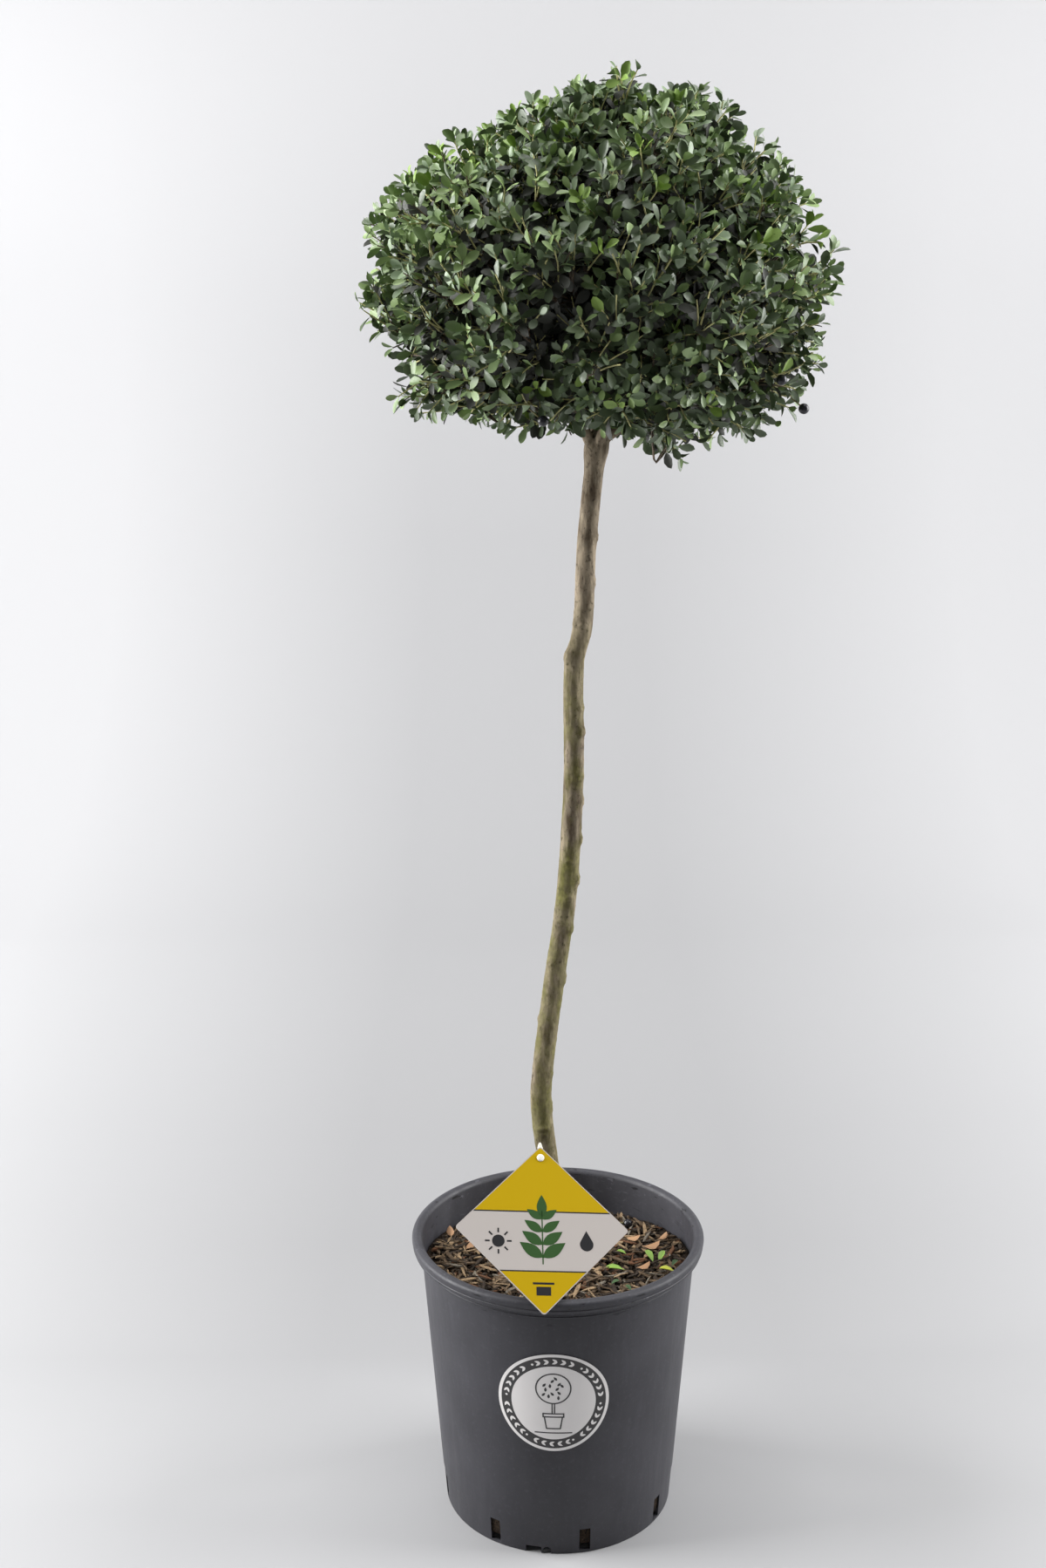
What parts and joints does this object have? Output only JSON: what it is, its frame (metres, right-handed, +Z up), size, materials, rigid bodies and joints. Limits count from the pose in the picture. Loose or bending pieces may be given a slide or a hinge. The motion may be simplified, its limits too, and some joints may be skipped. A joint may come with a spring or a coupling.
{
  "type": "standard lollipop topiary in a nursery pot",
  "caption": "Small-leaved evergreen with a clipped rounded head on a clear stem, rooted in potting mix in a round plastic nursery pot with a label card and a sticker.",
  "frame": {"origin": "centre of the flat underside of the pot", "axes": "+Z up along the pot's axis, -Y the front that carries the label card and the sticker, +X to the right as seen from the front"},
  "size_m": [0.4753, 0.4751, 1.515],
  "materials": {
    "pot_plastic": "moulded charcoal plastic, matt with a faint sheen, scuffed on the rim",
    "potting_mix": "bark chips over peaty mix, damp and rough",
    "bark": "grey-brown bark with green algae and small scars",
    "leaves": "small dark green leathery leaves with a soft gloss",
    "card": "printed plastic card in yellow and white",
    "pin_plastic": "white moulded plastic",
    "sticker": "printed film, white disc in a dark ring"
  },
  "bodies": {
    "root": {"pot": "pot_plastic", "potting_mix": "potting_mix", "trunk": "bark", "bough_right": "bark", "bough_back_right": "bark", "bough_back_left": "bark", "bough_front_left": "bark", "bough_front_right": "bark", "bough_top": "bark", "foliage_right": "leaves", "foliage_back_right": "leaves", "foliage_back_left": "leaves", "foliage_front_left": "leaves", "foliage_front_right": "leaves", "foliage_top": "leaves", "label_card": "card", "label_pin": "pin_plastic", "pot_sticker": "sticker"}
  },
  "joints": []
}
